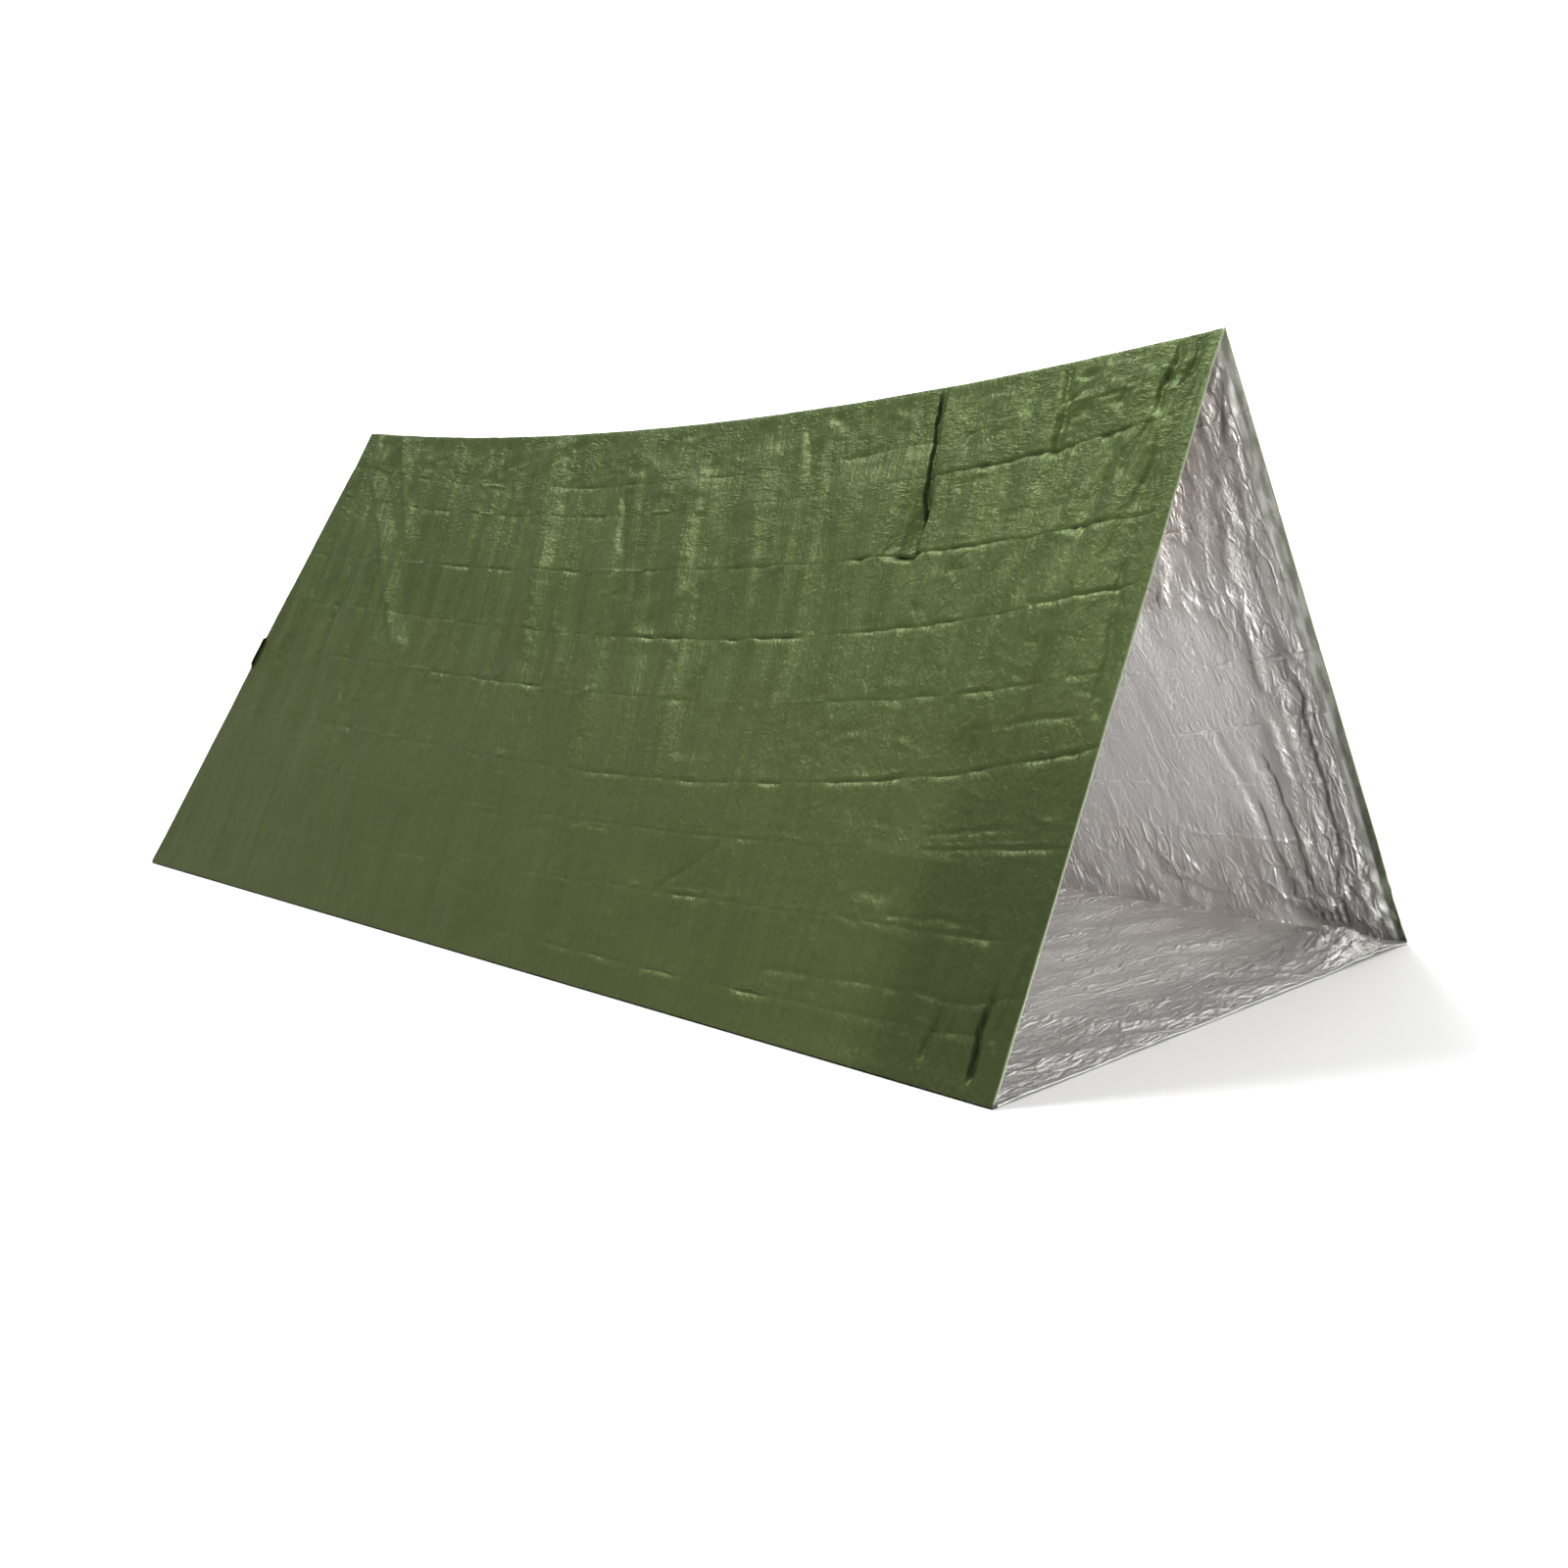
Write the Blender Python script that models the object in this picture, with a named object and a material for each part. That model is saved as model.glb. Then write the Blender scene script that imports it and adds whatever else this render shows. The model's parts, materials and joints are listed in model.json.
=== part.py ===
"""Emergency tube tent: a tube of two-ply film pitched as a ridge, which folds flat on its lengthwise creases.

Metres, +Z up. The origin is the middle of the floor, on the ground. X runs across the tent, from the near
wall at -X to the far wall at +X, and Y along it, from the front opening at -Y to the rear one at +Y.
Each wall is worked out as the near one, and the far one is its mirror image in X.
"""

import math

import bpy
from mathutils import Vector

# Driving sizes of the pitched tent
FLOOR_WIDTH = 1.0
TENT_LENGTH = 2.1
RIDGE_HEIGHT = 0.88
RIDGE_SAG = 0.054

# Film: an olive outer ply over an aluminised inner ply
OUTER_PLY = 0.0008
INNER_PLY = 0.0008
PLY_GAP = 0.0003

# Hem folded in at each opening, and the lap that closes the tube on the floor's far edge
HEM_WIDTH = 0.025
HEM_PLY = 0.0008
HEM_CORNER_GAP = 0.006
LAP_WIDTH = 0.03
LAP_PLY = 0.0008

# Running gaps at the creases that the tube folds on
FOOT_GAP = 0.0003
CREASE_GAP = 0.0006
CREASE_CLEARANCE = 0.002
RIDGE_GAP = 0.0006

# The tube folded flat: slope of its lower panels, and how far the open far foot then stands out
PACKED_SLOPE = math.radians(6.0)
OPEN_FOOT_CLEARANCE = 0.001

# Folds in the walls
PLEAT_DEPTH = 0.004
DRAPE_DEPTH = 0.009
WALL_COLUMNS = 32
FAN_SHARE = 0.6
DRAPE_LEAN_SHARE = 1.5
DRAPE_SWING_SHARE = 0.35

# Packing creases: height up the panel, and inward depth there, as shares of the panel and of PLEAT_DEPTH
LOWER_CREASE_SHARES = ((0.0, 0.0), (0.2, 1.0), (0.6, 0.4), (1.0, 0.0))
UPPER_CREASE_SHARES = (
    (0.0, 0.0),
    (0.12, 0.8),
    (0.27, 0.0),
    (0.42, 1.0),
    (0.585, 0.2),
    (0.735, 1.0),
    (0.84, 0.0),
    (0.93, 0.5),
    (1.0, 0.0),
)

# Sizes worked out from those above
STACK = OUTER_PLY + PLY_GAP + INNER_PLY
HALF_WIDTH = FLOOR_WIDTH / 2
HALF_LENGTH = TENT_LENGTH / 2
HINGE_HEIGHT = STACK / 2
NEAR = -1
FAR = 1


def wall_slope():
    """Slope of the wall whose mid film passes the foot's hinge and whose outer face reaches the ridge."""
    rise = RIDGE_HEIGHT - HINGE_HEIGHT
    reach = math.hypot(HALF_WIDTH, rise)
    return math.acos(STACK / 2 / reach) - math.atan2(HALF_WIDTH, rise)


WALL_SLOPE = wall_slope()
WALL_LENGTH = (RIDGE_HEIGHT - HINGE_HEIGHT) / math.sin(WALL_SLOPE)
LOWER_PANEL = (WALL_LENGTH - HALF_WIDTH / math.cos(PACKED_SLOPE)) / 2
UPPER_PANEL = WALL_LENGTH - LOWER_PANEL
FOOT_START = (STACK / 2 * (1 + math.cos(WALL_SLOPE)) + FOOT_GAP) / math.sin(WALL_SLOPE)


def along(slope):
    """Unit vector up a wall, in the X and Z of the near wall."""
    return Vector((math.cos(slope), math.sin(slope)))


def outward(slope):
    """Unit vector out of a wall, in the X and Z of the near wall."""
    return Vector((-math.sin(slope), math.cos(slope)))


FOOT_HINGE = Vector((-HALF_WIDTH, HINGE_HEIGHT))
CREASE_OUTSIDE = FOOT_HINGE + along(WALL_SLOPE) * LOWER_PANEL + outward(WALL_SLOPE) * STACK / 2
CREASE_HINGE = CREASE_OUTSIDE - outward(WALL_SLOPE) * (STACK + CREASE_CLEARANCE)
RIDGE_HINGE = Vector((0, RIDGE_HEIGHT))


def fold_figures():
    """Travel of the foot hinge to the flat tube, and the crease and ridge turns for each turn of it."""
    lower = CREASE_HINGE - FOOT_HINGE
    upper = RIDGE_HINGE - CREASE_HINGE
    lower_slope = math.atan2(lower.y, lower.x)
    upper_slope = math.atan2(upper.y, upper.x)
    reach = HALF_WIDTH + OPEN_FOOT_CLEARANCE + lower.length * math.cos(PACKED_SLOPE)
    packed_upper_slope = math.acos(reach / upper.length)
    travel = math.pi - PACKED_SLOPE - lower_slope
    share = (upper_slope - packed_upper_slope) / travel
    return travel, -(1 + share), 2 * share


def ridge_height(y):
    """The ridge line hangs as a parabola between its two ends."""
    return RIDGE_HEIGHT - RIDGE_SAG * (1 - (y / HALF_LENGTH) ** 2)


def column_y(column, climb):
    """Place along the tent of a wall column: even at the foot, and gathered towards both ends at the ridge."""
    even = (column - 1 / 2) * TENT_LENGTH
    gathered = even - FAN_SHARE * TENT_LENGTH * math.sin(2 * math.pi * column) / (2 * math.pi)
    return even + (gathered - even) * climb


def column_at(y, climb):
    """The column that stands at y near an opening, found by halving the first or last columns."""
    low, high = 0.0, 1.0
    while high - low > 1e-9:
        middle = (low + high) / 2
        if column_y(middle, climb) < y:
            low = middle
        else:
            high = middle
    return (low + high) / 2


def lower_climb(share):
    """Height of a lower panel's row, as a share of the wall."""
    return share * LOWER_PANEL / WALL_LENGTH


def upper_climb(share):
    """Height of an upper panel's row, as a share of the wall."""
    return (LOWER_PANEL + share * UPPER_PANEL) / WALL_LENGTH


def lower_point(column, share, depth, fold):
    """A point of the flat lower panel, depth inside its outer face, between the foot and the crease."""
    distance = FOOT_START + (LOWER_PANEL - CREASE_GAP / 2 - FOOT_START) * share
    face = FOOT_HINGE + outward(WALL_SLOPE) * (STACK / 2 - depth - fold)
    spot = face + along(WALL_SLOPE) * distance
    return Vector((spot.x, column_y(column, lower_climb(share)), spot.y))


def upper_point(column, share, depth, fold):
    """A point of the upper panel, which rises from the straight crease to the sagging ridge, mitred there."""
    apex = Vector((-RIDGE_GAP / 2, ridge_height(column_y(column, 1))))
    line = apex - CREASE_OUTSIDE
    slope = math.atan2(line.y, line.x)
    end = (apex.x - CREASE_OUTSIDE.x + outward(slope).x * depth) / along(slope).x
    start = CREASE_GAP / 2
    spot = CREASE_OUTSIDE + along(slope) * (start + (end - start) * share) - outward(slope) * (depth + fold)
    return Vector((spot.x, column_y(column, upper_climb(share)), spot.y))


def drape_depth(side, column, index, share):
    """Inward depth of the folds that hang from the ridge: every second column, deepest above mid height."""
    if index % 2 or index in (0, WALL_COLUMNS):
        return 0
    phase = column if side == NEAR else 1 - column
    strength = 1 - DRAPE_SWING_SHARE * (1 + math.sin(2 * math.pi * (phase + phase * phase)))
    return DRAPE_DEPTH * strength * math.sin(math.pi * share**DRAPE_LEAN_SHARE)


def material(name, colour, roughness, metallic):
    """A Principled BSDF finish."""
    made = bpy.data.materials.new(name)
    made.use_nodes = True
    shader = made.node_tree.nodes["Principled BSDF"]
    shader.inputs["Base Color"].default_value = (*colour, 1)
    shader.inputs["Roughness"].default_value = roughness
    shader.inputs["Metallic"].default_value = metallic
    return made


def hinge(name, spot, parent=None):
    """An empty on a crease's axis, which carries the panels that turn about it."""
    empty = bpy.data.objects.new(name, None)
    bpy.context.scene.collection.objects.link(empty)
    empty["place"] = (spot.x, 0.0, spot.y)
    empty.location = empty["place"]
    if parent is not None:
        empty.parent = parent
        empty.location = Vector(empty["place"]) - Vector(parent["place"])
    return empty


def sheet_solid(name, finish, carrier, side, top, bottom):
    """A closed thin solid between two grids of points, rows of columns, each cell split the same way in both."""
    rows, columns = len(top), len(top[0])
    home = Vector(carrier["place"]) if carrier else Vector()
    points = []
    for grid in (top, bottom):
        for row in grid:
            for point in row:
                points.append(Vector((-side * point.x, point.y, point.z)) - home)

    def vertex(layer, row, column):
        return (layer * rows + row) * columns + column

    faces = []
    for row in range(rows - 1):
        for column in range(columns - 1):
            a = vertex(0, row, column)
            b = vertex(0, row, column + 1)
            c = vertex(0, row + 1, column + 1)
            d = vertex(0, row + 1, column)
            step = rows * columns
            faces += [(a, c, b), (a, d, c)]
            faces += [(a + step, b + step, c + step), (a + step, c + step, d + step)]
    rim = [(0, column) for column in range(columns)]
    rim += [(row, columns - 1) for row in range(1, rows)]
    rim += [(rows - 1, column) for column in range(columns - 2, -1, -1)]
    rim += [(row, 0) for row in range(rows - 2, 0, -1)]
    for here, there in zip(rim, rim[1:] + rim[:1]):
        a = vertex(0, *here)
        b = vertex(0, *there)
        c = vertex(1, *there)
        d = vertex(1, *here)
        faces += [(a, b, c), (a, c, d)]
    if side == FAR:
        faces = [face[::-1] for face in faces]
    mesh = bpy.data.meshes.new(name)
    mesh.from_pydata(points, [], faces)
    mesh.update()
    mesh.materials.append(finish)
    made = bpy.data.objects.new(name, mesh)
    bpy.context.scene.collection.objects.link(made)
    if carrier:
        made.parent = carrier
    return made


def flat_sheet(name, finish, low, high):
    """A flat rectangular sheet on the floor, between two corners."""
    ends = (low.y, high.y)
    top = [[Vector((x, y, high.z)) for y in ends] for x in (low.x, high.x)]
    bottom = [[Vector((x, y, low.z)) for y in ends] for x in (low.x, high.x)]
    return sheet_solid(name, finish, None, NEAR, top, bottom)


def lower_panel(label, side, carrier, finishes):
    """The plies of the wall's lower panel, from the floor's edge to the fold crease, with their shallow pleats."""

    def grid(depth):
        return [
            [
                lower_point(index / WALL_COLUMNS, share, depth, PLEAT_DEPTH * pleat)
                for index in range(WALL_COLUMNS + 1)
            ]
            for share, pleat in LOWER_CREASE_SHARES
        ]

    sheet_solid(f"{label}_outer_film", finishes["outer"], carrier, side, grid(0), grid(OUTER_PLY))
    sheet_solid(f"{label}_inner_film", finishes["inner"], carrier, side, grid(STACK - INNER_PLY), grid(STACK))


def upper_panel(label, side, carrier, finishes):
    """The plies of the wall's upper panel, from the fold crease to the ridge, with the folds that hang there."""

    def grid(depth):
        return [
            [
                upper_point(
                    index / WALL_COLUMNS,
                    share,
                    depth,
                    PLEAT_DEPTH * pleat + drape_depth(side, index / WALL_COLUMNS, index, share),
                )
                for index in range(WALL_COLUMNS + 1)
            ]
            for share, pleat in UPPER_CREASE_SHARES
        ]

    sheet_solid(f"{label}_outer_film", finishes["outer"], carrier, side, grid(0), grid(OUTER_PLY))
    sheet_solid(f"{label}_inner_film", finishes["inner"], carrier, side, grid(STACK - INNER_PLY), grid(STACK))


def hem_columns(climb, rear):
    """The two columns between which a hem lies, at its edge of the wall and a hem's width in from it."""
    inner_edge = HALF_LENGTH - HEM_WIDTH
    return (column_at(inner_edge, climb), 1.0) if rear else (0.0, column_at(-inner_edge, climb))


def rows_from(shares, first):
    """The rows of a panel, started higher up it, on its first pleat."""
    (low, low_pleat), (high, high_pleat) = shares[:2]
    pleat = low_pleat + (high_pleat - low_pleat) * (first - low) / (high - low)
    return ((first, pleat), *shares[1:])


def wall_hems(label, side, carrier, finish, shares, climb_of, point_of):
    """The hem strips inside one panel, at the front and the rear opening, which follow its pleats."""
    for end, rear in (("front", False), ("rear", True)):

        def grid(depth):
            return [
                [point_of(column, share, depth, PLEAT_DEPTH * pleat) for column in hem_columns(climb_of(share), rear)]
                for share, pleat in shares
            ]

        face = STACK + PLY_GAP
        sheet_solid(f"{label}_{end}_hem", finish, carrier, side, grid(face), grid(face + HEM_PLY))


def floor(finishes):
    """The floor's two plies, its hems and the lap that closes the tube along the far edge."""
    edge = HALF_WIDTH - FOOT_GAP
    levels = {
        "floor_outer_film": ("outer", 0, OUTER_PLY),
        "floor_inner_film": ("inner", STACK - INNER_PLY, STACK),
    }
    for name, (finish, low, high) in levels.items():
        flat_sheet(name, finishes[finish], Vector((-edge, -HALF_LENGTH, low)), Vector((edge, HALF_LENGTH, high)))
    low = STACK + PLY_GAP
    side = edge - HEM_CORNER_GAP
    inner_edge = HALF_LENGTH - HEM_WIDTH
    for name, start, end in (
        ("floor_front_hem", -HALF_LENGTH, -inner_edge),
        ("floor_rear_hem", inner_edge, HALF_LENGTH),
    ):
        flat_sheet(name, finishes["hem"], Vector((-side, start, low)), Vector((side, end, low + HEM_PLY)))
    lap_end = inner_edge - PLY_GAP
    flat_sheet(
        "tube_lap_seam",
        finishes["hem"],
        Vector((side - LAP_WIDTH, -lap_end, low)),
        Vector((side, lap_end, low + LAP_PLY)),
    )


def build():
    """Removes what the scene holds and builds the tent."""
    for old in list(bpy.data.objects):
        bpy.data.objects.remove(old)
    finishes = {
        "outer": material("olive_film", (0.098, 0.15, 0.047), 0.38, 0.0),
        "inner": material("aluminised_film", (0.62, 0.6, 0.58), 0.24, 1.0),
        "hem": material("hem_film", (0.55, 0.54, 0.51), 0.32, 1.0),
    }
    floor(finishes)
    mirrored_crease = Vector((-CREASE_HINGE.x, CREASE_HINGE.y))
    near_foot = hinge("near_foot_crease", FOOT_HINGE)
    near_crease = hinge("near_wall_crease", CREASE_HINGE, near_foot)
    ridge = hinge("ridge_crease", RIDGE_HINGE, near_crease)
    far_crease = hinge("far_wall_crease", mirrored_crease, ridge)
    for side, word, lower_carrier, upper_carrier in (
        (NEAR, "near", near_foot, near_crease),
        (FAR, "far", far_crease, ridge),
    ):
        lower, upper = f"{word}_lower_wall", f"{word}_upper_wall"
        lower_panel(lower, side, lower_carrier, finishes)
        upper_panel(upper, side, upper_carrier, finishes)
        hem_rows = rows_from(LOWER_CREASE_SHARES, HEM_CORNER_GAP / LOWER_PANEL)
        wall_hems(lower, side, lower_carrier, finishes["hem"], hem_rows, lower_climb, lower_point)
        wall_hems(upper, side, upper_carrier, finishes["hem"], UPPER_CREASE_SHARES, upper_climb, upper_point)
    travel, crease_turn, ridge_turn = fold_figures()
    print(f"fold: {math.degrees(travel):.3f} deg, wall creases {crease_turn:.6f}, ridge {ridge_turn:.6f}")


build()
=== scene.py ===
"""Looks of an emergency tube tent: creased film, hems at the openings, lap seam, light and camera.

Metres, +Z up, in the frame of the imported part. X runs across the tent, from the near wall at -X to the far
wall at +X, and Y along it, from the front opening at -Y to the rear one at +Y. A place on the two walls is
(y, girth): girth runs up the near wall from its foot, over the ridge and down the far wall. The climb of a
place is its distance up its own wall. Lifts are distances out of a film's face, and negative ones go into
the tent.
"""

import json
import math

import bpy
import numpy as np
from mathutils import Matrix, Vector


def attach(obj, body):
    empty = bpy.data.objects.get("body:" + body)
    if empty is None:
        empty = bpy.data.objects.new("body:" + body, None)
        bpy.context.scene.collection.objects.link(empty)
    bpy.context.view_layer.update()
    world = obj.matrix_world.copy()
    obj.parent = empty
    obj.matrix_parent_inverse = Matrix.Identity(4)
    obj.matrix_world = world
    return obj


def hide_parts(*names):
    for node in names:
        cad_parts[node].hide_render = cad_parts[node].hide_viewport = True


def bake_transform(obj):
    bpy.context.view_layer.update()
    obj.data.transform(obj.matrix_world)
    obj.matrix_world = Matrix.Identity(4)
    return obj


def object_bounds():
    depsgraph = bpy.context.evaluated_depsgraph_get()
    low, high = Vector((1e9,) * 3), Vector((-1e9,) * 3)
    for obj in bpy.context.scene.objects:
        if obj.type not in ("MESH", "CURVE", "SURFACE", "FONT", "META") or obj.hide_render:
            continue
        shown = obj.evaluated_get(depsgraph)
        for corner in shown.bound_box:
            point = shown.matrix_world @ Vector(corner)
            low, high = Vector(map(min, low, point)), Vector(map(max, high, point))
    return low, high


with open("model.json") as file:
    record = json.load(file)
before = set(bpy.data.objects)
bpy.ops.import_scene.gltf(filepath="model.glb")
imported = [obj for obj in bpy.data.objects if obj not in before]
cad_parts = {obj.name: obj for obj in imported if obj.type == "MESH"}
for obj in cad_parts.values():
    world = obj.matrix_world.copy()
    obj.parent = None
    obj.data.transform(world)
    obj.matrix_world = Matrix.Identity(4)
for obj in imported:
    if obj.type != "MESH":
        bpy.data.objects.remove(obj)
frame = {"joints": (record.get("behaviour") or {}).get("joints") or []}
CAD_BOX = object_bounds()
NEAR, FAR = 0, 1

# The pitched tube, read from the frame's box and its hinges
JOINTS = {joint["name"]: joint["pos_m"] for joint in frame["joints"]}
HALF_LENGTH = CAD_BOX[1].y
HALF_WIDTH = -JOINTS["tube_fold"][0]
HINGE_HEIGHT = JOINTS["tube_fold"][2]
RIDGE_HEIGHT = JOINTS["ridge_crease"][2]
STACK = 2 * HINGE_HEIGHT
RIDGE_SAG = 0.054
RIDGE_ROUND = 0.004

# Depths of the two plies under the solids' outer face, and heights of those of the floor over the ground
OUTER_DEPTH = 0.0003
INNER_DEPTH = 0.0011
FLOOR_OUTER = 0.0005
FLOOR_INNER = 0.0013
# Limits of the films: the walls' first climb, the floor edges' reach and height, the floor grid's reach, and
# the inset at the openings
FOOT_START = 0.0006
FLOOR_EDGE = {"outer": (0.0006, 0.0003), "inner": (-0.0006, 0.0016)}
FLOOR_REACH = HALF_WIDTH - 0.0018
EDGE_INSET = 0.0016

# Grid of the films: steps, stretches with a closer step, levels of the near wall with closer rows, the
# largest step just above the wall crease, and the rows beside each packing crease
COLUMN_STEP = 0.0048
FINE_COLUMNS = ((-1.05, -0.85, 0.0030), (-0.665, -0.565, 0.0022))
ROW_STEP = 0.0052
LOW_ROW_STEP = 0.0035
LOW_ROW_LEVELS = (1, 2)
CURL_STEP = 0.004
CREASE_ROWS = (0.0, 0.0014, 0.003)
FLOOR_STEP = 0.0066
FINE_FLOOR_X = ((0.24, 0.50, 0.0028),)
FINE_FLOOR_Y = ((-1.05, -0.84, 0.0028),)

# Packing creases of a wall: climb as a share of the wall at five stations along the tent, front to rear
STATION_SHARES = (-1.0, -0.6, -0.2, 0.3, 1.0)
CREASE_SHARES = (
    (0.07, 0.051, 0.047, 0.049, 0.055),
    (0.176, 0.16, 0.139, 0.124, 0.118),
    (0.292, 0.245, 0.23, 0.232, 0.245),
    (0.415, 0.333, 0.311, 0.318, 0.335),
    (0.515, 0.462, 0.443, 0.462, 0.47),
    (0.632, 0.57, 0.557, 0.568, 0.585),
    (0.73, 0.697, 0.685, 0.688, 0.697),
    (0.877, 0.834, 0.806, 0.808, 0.84),
    (0.947, 0.902, 0.874, 0.873, 0.915),
)
SEAM_LEVEL = 7
RIDGE_LEVEL = len(CREASE_SHARES) + 1

# Where creases of the near wall show most: crease, stretch in shares of half the length, and strength
NEAR_MARKS = (
    (1, -0.93, -0.58, 0.9),
    (1, -0.48, -0.2, 0.5),
    (2, -0.93, -0.4, 0.6),
    (2, 0.05, 0.3, 0.3),
    (3, -0.96, -0.78, 0.8),
    (3, -0.6, -0.18, 0.7),
    (4, -0.98, -0.72, 1.0),
    (4, -0.7, -0.17, 0.7),
    (5, 0.08, 0.36, 0.6),
    (5, -0.9, -0.78, 0.5),
    (6, -0.45, -0.07, 0.9),
    (6, -0.95, -0.6, 0.5),
    (7, -0.615, -0.51, 1.6),
    (7, -0.97, -0.58, 0.9),
    (7, -0.27, 0.64, 0.6),
    (8, -0.96, -0.62, 1.0),
    (8, -0.1, 0.7, 0.6),
    (9, 0.18, 0.76, 0.5),
)
# Short creases of the near wall beside the packing ones: the path of each, as shares, and its strength
NEAR_SHORTS = (
    (((-0.985, 0.118), (-0.93, 0.1), (-0.8, 0.098), (-0.623, 0.084)), 0.9),
    (((-0.905, 0.188), (-0.86, 0.186), (-0.79, 0.18)), 0.9),
    (((-0.942, 0.452), (-0.825, 0.432)), 0.8),
    (((-0.905, 0.303), (-0.8, 0.285), (-0.725, 0.292)), 0.9),
    (((-0.85, 0.262), (-0.73, 0.268)), 0.5),
    (((-0.238, 0.222), (-0.172, 0.224)), 0.6),
    (((-0.057, 0.218), (0.05, 0.214)), 0.5),
    (((0.235, 0.443), (0.323, 0.449)), 0.6),
    (((-0.945, 0.62), (-0.84, 0.606)), 0.5),
    (((-0.86, 0.76), (-0.74, 0.752)), 0.5),
    (((-0.95, 0.79), (-0.88, 0.784)), 0.5),
    (((-0.91, 0.93), (-0.85, 0.925)), 0.6),
    (((-0.7, 0.925), (-0.65, 0.925)), 0.5),
)
# Where creases of the far wall show most
FAR_MARKS = (
    (2, -1.0, -0.7, 0.5),
    (3, -1.0, -0.8, 0.6),
    (4, -1.0, -0.75, 1.0),
    (5, -1.0, -0.85, 0.6),
    (6, -0.3, 0.6, 0.7),
    (7, -1.0, -0.6, 1.0),
    (7, -0.1, 0.9, 0.7),
    (8, -1.0, -0.9, 0.8),
    (8, 0.2, 0.9, 0.7),
    (3, 0.1, 0.8, 0.6),
    (4, -0.5, 0.3, 0.6),
    (2, 0.3, 0.95, 0.5),
)

# Folds that hang in a wall: the line of each from its top down, in shares of half the length and of the wall,
# then the widths of its rear and front flanks, and its lift
NEAR_FOLDS = (
    (
        ((0.955, 0.97), (0.916, 0.896), (0.768, 0.748), (0.648, 0.613), (0.549, 0.509), (0.52, 0.42)),
        0.014, 0.06, 0.0072,
    ),
    (((0.86, 0.97), (0.814, 0.914), (0.735, 0.815), (0.639, 0.7)), 0.009, 0.036, 0.0044),
    (
        ((0.34, 0.96), (0.302, 0.859), (0.271, 0.775), (0.227, 0.693), (0.193, 0.577), (0.17, 0.5)),
        0.052, 0.05, 0.0066,
    ),
    (((0.202, 0.561), (0.188, 0.486), (0.203, 0.426), (0.176, 0.347)), 0.01, 0.022, 0.0022),
    (((0.545, 0.953), (0.52, 0.884), (0.509, 0.85)), 0.014, 0.026, 0.0028),
    (((0.07, 0.84), (0.055, 0.806), (0.028, 0.747), (0.005, 0.69)), 0.01, 0.034, -0.0034),
    (((-0.09, 0.85), (-0.104, 0.798), (-0.149, 0.687), (-0.183, 0.582), (-0.22, 0.48)), 0.115, 0.045, 0.0066),
    (((-0.035, 0.67), (-0.05, 0.616), (-0.079, 0.545)), 0.007, 0.018, 0.0018),
    (((-0.235, 0.9), (-0.262, 0.8), (-0.31, 0.685), (-0.345, 0.583), (-0.37, 0.5)), 0.046, 0.055, 0.0052),
    (((-0.312, 0.534), (-0.291, 0.453), (-0.315, 0.36)), 0.02, 0.08, -0.0036),
    (((-0.141, 0.547), (-0.164, 0.446), (-0.174, 0.349)), 0.026, 0.055, 0.0032),
    (((0.074, 0.551), (0.044, 0.47), (0.031, 0.401)), 0.022, 0.04, 0.0028),
    (((-0.56, 0.985), (-0.594, 0.806), (-0.612, 0.701)), 0.006, 0.01, -0.008),
    (((-0.604, 0.745), (-0.612, 0.701)), 0.03, 0.01, -0.009),
    (((-0.604, 0.745), (-0.612, 0.701)), 0.062, 0.01, -0.0135),
    (((-0.775, 0.985), (-0.79, 0.85)), 0.008, 0.015, -0.0058),
    (((-0.944, 0.984), (-0.932, 0.892)), 0.006, 0.012, -0.0046),
    (((-0.972, 0.976), (-0.963, 0.932)), 0.006, 0.01, -0.004),
    (((-0.925, 0.855), (-0.908, 0.8)), 0.006, 0.014, -0.0026),
    (((-0.95, 0.846), (-0.948, 0.75)), 0.006, 0.014, -0.0022),
    (((-0.958, 0.64), (-0.978, 0.46)), 0.007, 0.018, -0.0028),
    (((-0.957, 0.074), (-0.96, 0.028)), 0.005, 0.006, -0.009),
    (((-0.985, 0.2), (-0.98, 0.07)), 0.006, 0.01, -0.0022),
    (((-0.896, 0.068), (-0.892, 0.04)), 0.006, 0.012, -0.0045),
    (((-0.3, 0.97), (-0.345, 0.86)), 0.009, 0.026, -0.003),
    (((-0.46, 0.67), (-0.475, 0.58)), 0.007, 0.03, -0.0022),
    (((-0.725, 0.84), (-0.735, 0.74)), 0.008, 0.03, -0.0022),
    (((-0.635, 0.85), (-0.65, 0.74)), 0.008, 0.02, 0.002),
    (((-0.825, 0.4), (-0.773, 0.205)), 0.06, 0.012, -0.005),
    (((-0.48, 0.234), (-0.396, 0.159)), 0.008, 0.02, -0.0018),
    (((0.93, 0.9), (0.915, 0.45)), 0.01, 0.03, -0.0024),
    (((0.7, 0.52), (0.6, 0.36)), 0.01, 0.04, -0.0018),
)
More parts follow.
